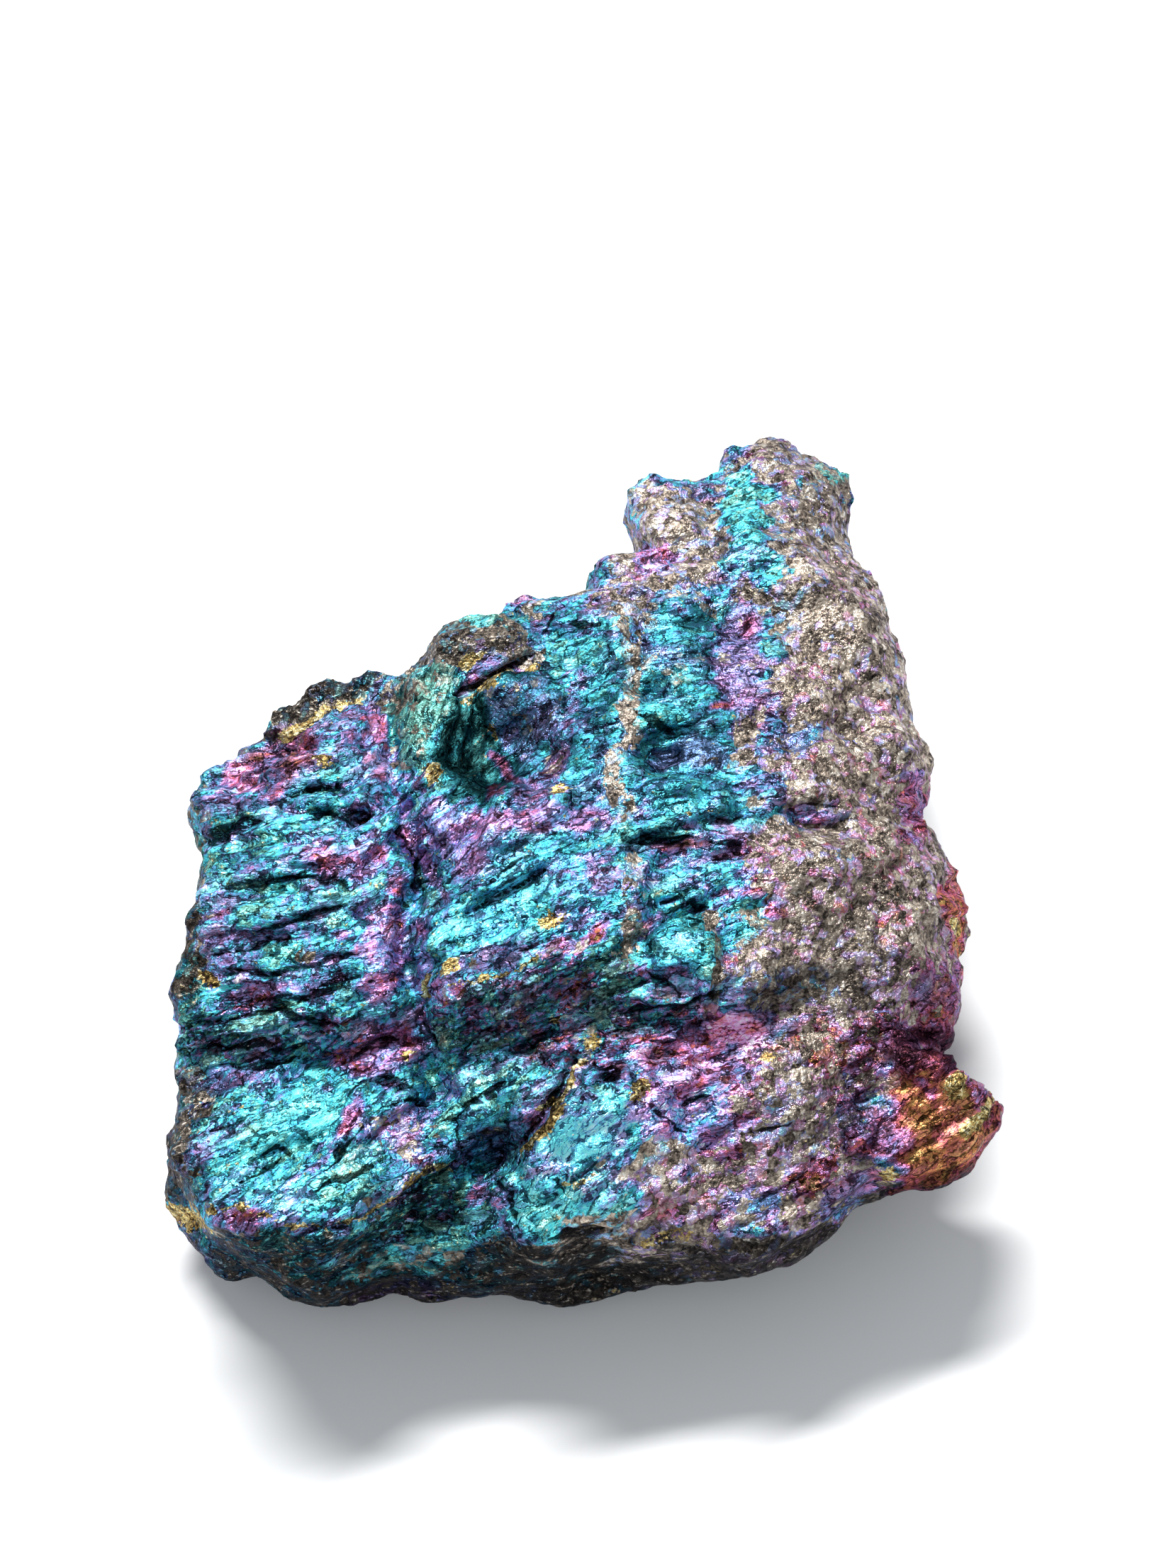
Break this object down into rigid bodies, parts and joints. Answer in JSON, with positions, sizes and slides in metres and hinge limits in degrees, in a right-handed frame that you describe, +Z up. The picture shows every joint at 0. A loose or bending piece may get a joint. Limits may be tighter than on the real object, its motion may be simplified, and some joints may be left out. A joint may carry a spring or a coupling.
{
  "type": "mineral specimen",
  "caption": "Rough lump of tarnished copper ore with lapped iridescent ledges, a granular back lobe and a knob at one corner; lies on a small flat spot.",
  "frame": {"origin": "middle of the stone's box in plan, on the plane of the flat spot it rests on", "axes": "+Z up out of the broken top face, +Y towards the narrow back lobe, -Y towards the upright front wall, +X towards the side with the knob"},
  "size_m": [0.045, 0.0502, 0.0166],
  "materials": {
    "ore": "iridescent tarnish on broken ore"
  },
  "bodies": {
    "root": {"peacock_ore": "ore"}
  },
  "joints": []
}
